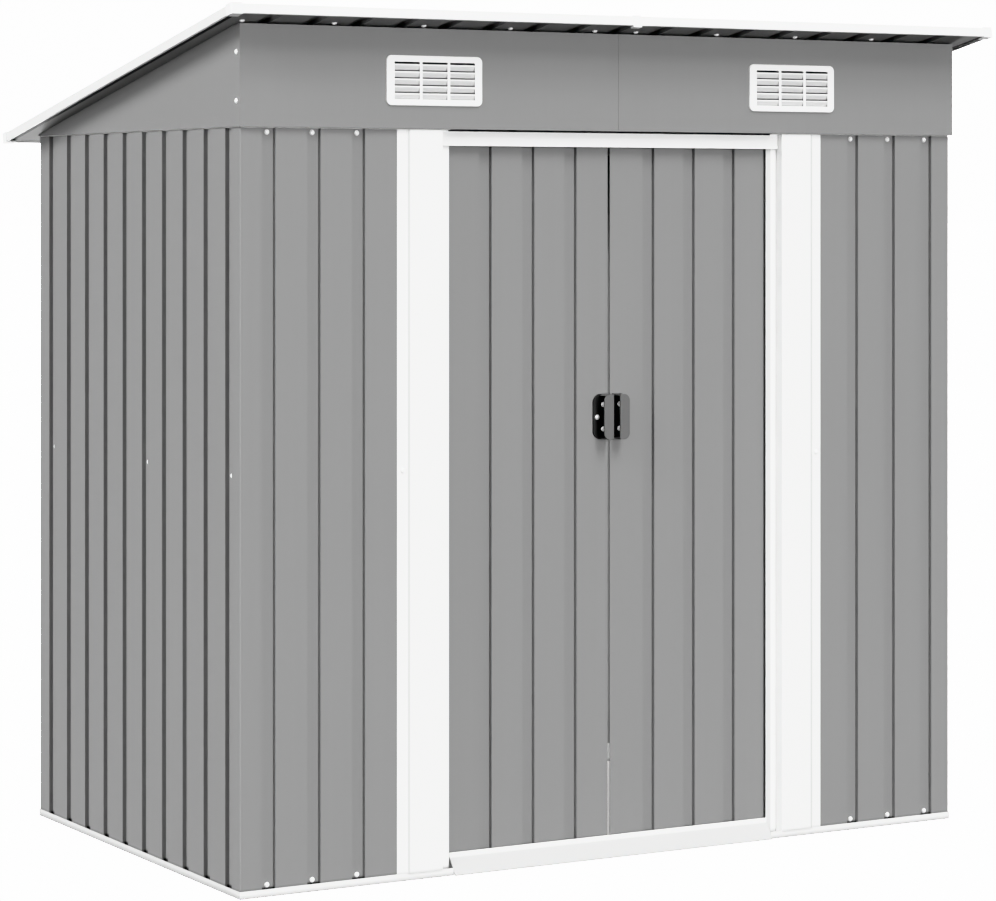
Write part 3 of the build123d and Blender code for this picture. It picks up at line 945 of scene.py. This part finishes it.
@dataclass
class BaseAndDoorFrame:
    """Base rails, sill, jambs, top rails and door tracks."""

    jamb_screw_offset: float = 0.5247
    jamb_screw_level: float = 0.856
    flange_proud: float = 0.0014

    def dress(self, dresser: Dresser) -> None:
        """Paint the white frame and leave the tracks in bare zinc.

        Args:
            dresser: Puts the finishes on.
        """
        dresser.paint(
            Finish.RAIL_WHITE,
            "front_left_base_rail",
            "front_right_base_rail",
            "rear_base_rail",
        )
        dresser.paint(Finish.SILL_WHITE, "door_sill")
        dresser.paint(Finish.JAMB_WHITE, "left_door_jamb", "right_door_jamb")
        dresser.paint(
            Finish.TRIM_WHITE,
            "front_top_rail",
            "rear_top_rail",
            "left_top_rail",
            "right_top_rail",
        )
        dresser.paint(Finish.SIDE_RAIL_WHITE, "left_base_rail", "right_base_rail")
        dresser.paint(Finish.FRAME_STEEL, "lower_door_track", "upper_door_track")

    def spots(self) -> List[ScrewSpot]:
        """One screw half way up each jamb's outer flange.

        Returns:
            Their places.
        """
        low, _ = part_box("front_left_wall")
        place = (-self.jamb_screw_offset, low.y - self.flange_proud, self.jamb_screw_level)
        return mirrored([ScrewSpot(place, (0.0, -1.0, 0.0))])


@dataclass
class FasciaAndGables:
    """Panel above the door with its vents, and the gables."""

    screw_inset: float = 0.0155
    screw_levels: Tuple[float, ...] = (1.620, 1.7195)

    def dress(self, dresser: Dresser) -> None:
        """Paint the sheets and finish the vents.

        Args:
            dresser: Puts the finishes on.
        """
        dresser.paint(Finish.PANEL_GREY, "front_left_fascia", "front_right_fascia")
        dresser.paint(Finish.PANEL_GREY, "left_gable", "right_gable")
        dresser.paint(Finish.VENT_WHITE, "left_vent", "right_vent")

    def spots(self) -> List[ScrewSpot]:
        """Screws in the fascia's folded ends.

        Returns:
            Their places.
        """
        low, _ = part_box("front_left_fascia")
        places = [(low.x, low.y + self.screw_inset, level) for level in self.screw_levels]
        return mirrored(ScrewSpot(place, (-1.0, 0.0, 0.0)) for place in places)


@dataclass
class Roof:
    """Ribbed roof sheets, their white edge trim and their screws."""

    front_level: float = 1.7791
    fall: float = 208.0 / 1073.5
    sheet: float = 0.0008
    first_screw: float = -0.9000
    screw_pitch: float = 0.2088
    screw_count: int = 5
    right_row: float = 0.9394
    underside_setback: float = 0.008
    rear_inset: float = 0.012

    def dress(self, dresser: Dresser) -> None:
        """Paint the sheets and the trim, and leave the beam in bare zinc.

        Args:
            dresser: Puts the finishes on.
        """
        dresser.paint(Finish.PANEL_GREY, "left_roof_panel", "right_roof_panel")
        dresser.paint(
            Finish.TRIM_WHITE,
            "front_left_roof_trim",
            "front_right_roof_trim",
            "rear_roof_trim",
        )
        dresser.paint(Finish.SIDE_TRIM_WHITE, "left_roof_trim", "right_roof_trim")
        dresser.paint(Finish.CAP_WHITE, "roof_trim_caps")
        dresser.paint(Finish.FRAME_STEEL, "roof_beam")

    def spots(self) -> List[ScrewSpot]:
        """Screw ends under the front overhang and heads on top of the roof.

        Returns:
            Their places.
        """
        wall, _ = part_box("front_left_wall")
        _, rear_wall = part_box("rear_right_wall")
        fascia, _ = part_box("front_left_fascia")
        beam_low, beam_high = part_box("roof_beam")
        rows = [
            (fascia.y - self.underside_setback, False),
            (fascia.y + self.underside_setback, True),
            ((beam_low.y + beam_high.y) / 2, True),
            (rear_wall.y - self.rear_inset, True),
        ]
        left = [self.first_screw + i * self.screw_pitch for i in range(self.screw_count)]
        places = left + [x + self.right_row for x in left]
        made = []
        for y, above in rows:
            level = self.front_level - self.fall * (y - wall.y) + (self.sheet if above else 0.0)
            facing = (0.0, self.fall, 1.0) if above else (0.0, -self.fall, -1.0)
            made += [ScrewSpot((x, y, level), facing) for x in (places if above else places[:-1])]
        return made


class Side(Enum):
    """The two doors, with the sign of their X places."""

    LEFT = -1.0
    RIGHT = 1.0


@dataclass
class SlidingDoor:
    """One sliding door with its pull."""

    side: Side
    screw_places: Tuple[Tuple[float, float], ...] = (
        (0.018, 0.977),
        (0.018, 0.924),
        (0.0335, 0.950),
    )
    right_screw_shift: float = 0.0055

    def piece(self, part: str) -> str:
        """Name of one of the door's nodes."""
        return f"{self.side.name.lower()}_door_{part}"

    def dress(self, dresser: Dresser) -> None:
        """Finish the door's nodes and screw its pull on.

        Args:
            dresser: Puts the finishes on.
        """
        dresser.paint(Finish.PANEL_GREY, self.piece("panel"))
        dresser.paint(Finish.FRAME_STEEL, self.piece("braces"))
        dresser.paint(Finish.SLIDE_NYLON, self.piece("slides"))
        dresser.paint(Finish.HANDLE_BLACK, self.piece("handle_plate"))
        dresser.paint(Finish.HANDLE_GREY, self.piece("handle_grip"))
        low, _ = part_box(self.piece("handle_plate"))
        shift = self.right_screw_shift if self.side is Side.RIGHT else 0.0
        places = [(self.side.value * x + shift, low.y, z) for x, z in self.screw_places]
        spots = [ScrewSpot(place, (0.0, -1.0, 0.0)) for place in places]
        screws = Screws(self.piece("handle_screws"), self.side.name.lower() + "_door", "trim_white")
        screws.build(spots, dresser.palette.material(Finish.SCREW_WHITE))


@dataclass(frozen=True)
class LightColumn:
    """A tall soft light on one bearing, made of soft suns above each other."""

    name: str
    bearing: float
    strength: float
    elevations: Tuple[float, ...] = (2.0, 27.0, 39.0)
    shares: Tuple[float, ...] = (0.28, 0.36, 0.36)
    spread: float = 16.0

    def build(self) -> None:
        """Add the suns; the bearing counts from the front towards the right."""
        bearing = math.radians(self.bearing)
        for step, (elevation, share) in enumerate(zip(self.elevations, self.shares)):
            light = bpy.data.lights.new(f"{self.name}_{step}", "SUN")
            light.energy = self.strength * share
            light.angle = math.radians(self.spread)
            lamp = bpy.data.objects.new(light.name, light)
            rise = math.radians(elevation)
            across = math.cos(rise)
            x, y = math.sin(bearing) * across, -math.cos(bearing) * across
            towards = Vector((x, y, math.sin(rise)))
            lamp.rotation_euler = towards.to_track_quat("Z", "Y").to_euler()
            bpy.context.scene.collection.objects.link(lamp)


@dataclass
class Studio:
    """Pale floor, soft light and the camera at the photograph's angle."""

    camera_place: Point = (-3.7838, -6.62376, 1.4097)
    camera_yaw: float = 29.826
    focal_pixels: float = 3316.3
    picture_width: float = 996.0
    picture_height: float = 901.0
    horizon_row: float = 204.5
    side_shift: float = -0.6
    sensor: float = 36.0
    floor_size: float = 400.0
    floor_tones: Tuple[float, float] = (0.86, 0.9)
    floor_patches: float = 0.8
    footprint: Tuple[float, float] = (0.895, 0.535)
    inside_shade: float = 0.075
    inside_glow: float = 4.5
    inside_panel: Tuple[float, float] = (1.7, 1.3)
    inside_spread: float = 40.0
    inside_level: float = 0.67
    backdrop: float = 6.0
    haze: float = 0.6
    sky_glow: Stops = ((0.49, 0.17), (0.505, 0.6), (0.65, 0.36), (0.85, 0.2))
    lights: Tuple[LightColumn, ...] = (
        LightColumn("front_light", 8.0, 3.70, (3.0, 42.0, 58.0), (0.52, 0.26, 0.35)),
        LightColumn("front_left_light", -75.0, 1.2),
        LightColumn("left_light", -95.0, 2.95, (-25.0, 2.0, 27.0, 39.0), (0.22, 0.11, 0.36, 0.36)),
        LightColumn("rear_right_light", 140.0, 3.3),
        LightColumn("rear_low_light", 168.0, 2.3, (-35.0,), (1.0,)),
    )

    def build(self) -> None:
        """Set up the whole studio."""
        self._camera()
        self._floor()
        self._sky()
        for column in self.lights:
            column.build()
        self._inside_light()
        bpy.context.scene.view_settings.view_transform = "Khronos PBR Neutral"

    def _camera(self) -> None:
        """Level camera with the vertical shift of the photograph's framing."""
        lens = bpy.data.cameras.new("camera")
        lens.sensor_width = self.sensor
        lens.lens = self.sensor * self.focal_pixels / self.picture_width
        lens.shift_x = self.side_shift / self.picture_width
        lens.shift_y = (self.horizon_row - self.picture_height / 2) / self.picture_width
        lens.clip_end = self.floor_size
        camera = bpy.data.objects.new("camera", lens)
        camera.location = self.camera_place
        camera.rotation_euler = (math.pi / 2, 0.0, -math.radians(self.camera_yaw))
        bpy.context.scene.collection.objects.link(camera)
        bpy.context.scene.camera = camera

    def _inside_light(self) -> None:
        """Dim panel in the middle of the shed that lights its rear wall from inside."""
        light = bpy.data.lights.new("inside_light", "AREA")
        light.shape = "RECTANGLE"
        light.size, light.size_y = self.inside_panel
        light.spread = math.radians(self.inside_spread)
        light.energy = self.inside_glow
        lamp = bpy.data.objects.new("inside_light", light)
        lamp.location = (0.0, 0.0, self.inside_level)
        lamp.rotation_euler = (math.pi / 2, 0.0, 0.0)
        lamp.visible_camera = False
        bpy.context.scene.collection.objects.link(lamp)

    def _floor(self) -> None:
        """Pale floor under the shed, kept out of the light that bounces on to it, with painted
        shade where the shed stands.
        """
        half = self.floor_size / 2
        mesh = bpy.data.meshes.new("floor")
        corners = [(-half, -half, 0.0), (half, -half, 0.0), (half, half, 0.0), (-half, half, 0.0)]
        mesh.from_pydata(corners, [], [(0, 1, 2, 3)])
        floor = bpy.data.objects.new("floor", mesh)
        bpy.context.scene.collection.objects.link(floor)
        tree = ShaderTree("floor_pale")
        dark, light = (scaled(WHITE, tone) for tone in self.floor_tones)
        shade = tree.tone(dark, light, 0.5 + tree.noise(self.floor_patches))
        # Painted shade: the floor's glow is dimmed inside the shed's footprint.
        across, along, _ = tree.axes()
        wide, deep = self.footprint
        inside = (abs(across) < wide) * (abs(along) < deep)
        glow = tree.tone(WHITE, scaled(WHITE, self.inside_shade), inside)
        mesh.materials.append(
            tree.close(
                {
                    "Base Color": shade,
                    "Roughness": 0.9,
                    "Specular IOR Level": 0.1,
                    "Emission Color": glow,
                    "Emission Strength": self.backdrop,
                }
            )
        )
        floor.visible_diffuse = False
        floor.visible_glossy = False
        floor.visible_shadow = False

    def _sky(self) -> None:
        """White backdrop for the camera, and a dimmer sky over a dim ground for the light."""
        world = bpy.data.worlds.new("studio")
        world.use_nodes = True
        bpy.context.scene.world = world
        tree = Tree(world.node_tree)
        tree.tree.nodes.clear()
        direction = tree.wire("ShaderNodeTexCoord")
        up = tree.wire("ShaderNodeSeparateXYZ", inputs={0: direction}, output="Z")
        stops = [(rise, glow / self.haze) for rise, glow in self.sky_glow]
        dome = tree.wire("ShaderNodeValToRGB", {"stops": stops}, {"Fac": 0.5 + 0.5 * up})
        lit = tree.wire("ShaderNodeBackground", inputs={"Color": dome, "Strength": self.haze})
        white = {"Color": (*WHITE, 1.0), "Strength": self.backdrop}
        seen = tree.wire("ShaderNodeBackground", inputs=white)
        to_camera = tree.wire("ShaderNodeLightPath", output="Is Camera Ray")
        both = tree.wire("ShaderNodeMixShader", inputs={0: to_camera, 1: lit, 2: seen})
        tree.node("ShaderNodeOutputWorld", inputs={"Surface": both})


def main() -> None:
    """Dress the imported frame, add the screws and set up the studio."""
    logging.basicConfig(level=logging.INFO, format="%(name)s %(message)s")
    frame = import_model()
    dresser = Dresser(frame, Palette())
    spots: List[ScrewSpot] = []
    for assembly in (Walls(), BaseAndDoorFrame(), FasciaAndGables(), Roof()):
        assembly.dress(dresser)
        spots += assembly.spots()
    screws = Screws("shed_screws", "shed", "trim_white")
    screws.build(spots, dresser.palette.material(Finish.SCREW_WHITE))
    for side in Side:
        SlidingDoor(side).dress(dresser)
    Studio().build()


if __name__ == "__main__":
    main()
